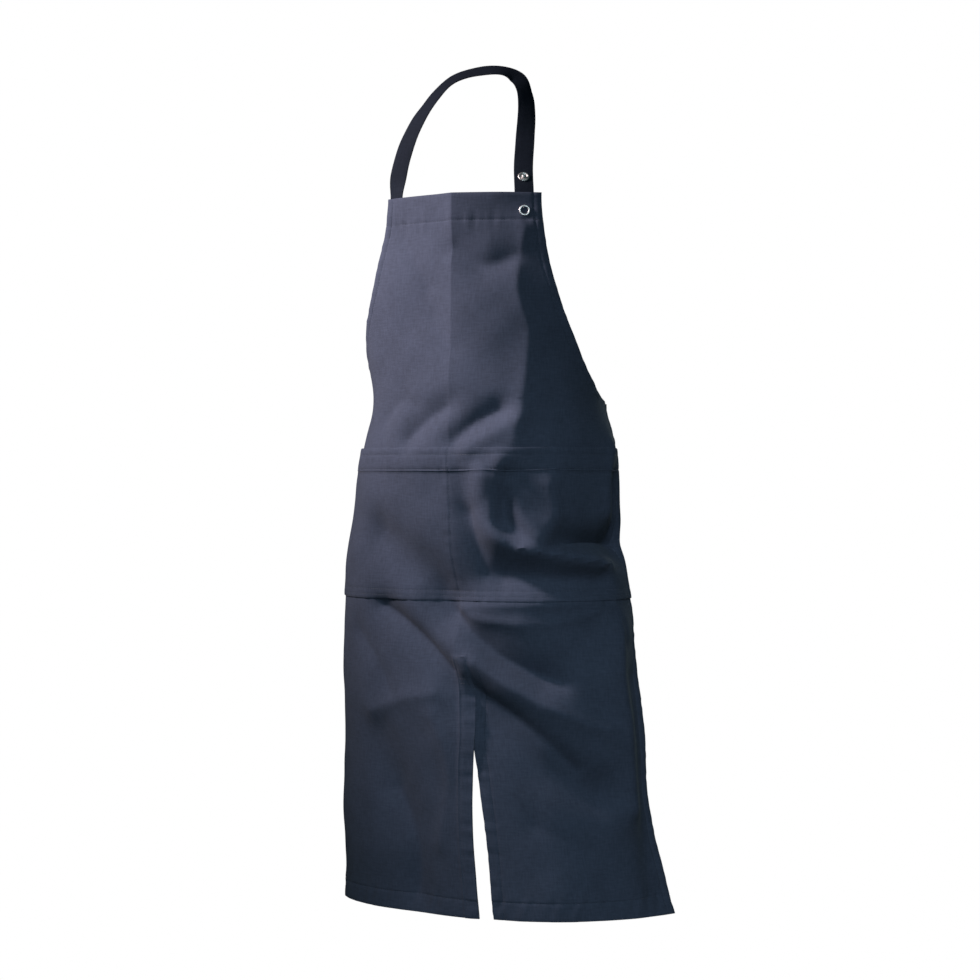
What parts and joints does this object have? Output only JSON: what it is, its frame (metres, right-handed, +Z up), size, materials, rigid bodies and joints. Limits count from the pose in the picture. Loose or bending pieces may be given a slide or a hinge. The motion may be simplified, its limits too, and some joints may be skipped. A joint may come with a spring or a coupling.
{
  "type": "bib apron with split front",
  "caption": "Worn-form kitchen bib apron in navy twill with a snap-fastened neck strap, a divided patch pocket and a split lower front.",
  "frame": {"origin": "inner face of the neck strap where it rests on the nape of the neck", "axes": "+Z up, the apron's front faces -Y, +X towards the wearer's left"},
  "size_m": [0.451, 0.2625, 1.0787],
  "materials": {
    "twill": "matt",
    "webbing": "matt",
    "snap_metal": "polished"
  },
  "bodies": {
    "root": {"apron_body": "twill", "front_pocket": "twill", "neck_strap": "webbing", "waist_tie_right": "webbing", "waist_tie_left": "webbing", "tie_knot": "webbing", "tie_tail_right": "webbing", "tie_tail_left": "webbing", "bib_stud_ring": "snap_metal", "bib_stud_socket": "snap_metal", "strap_lower_ring": "snap_metal", "strap_upper_ring": "snap_metal", "strap_upper_stud": "snap_metal"}
  },
  "joints": []
}
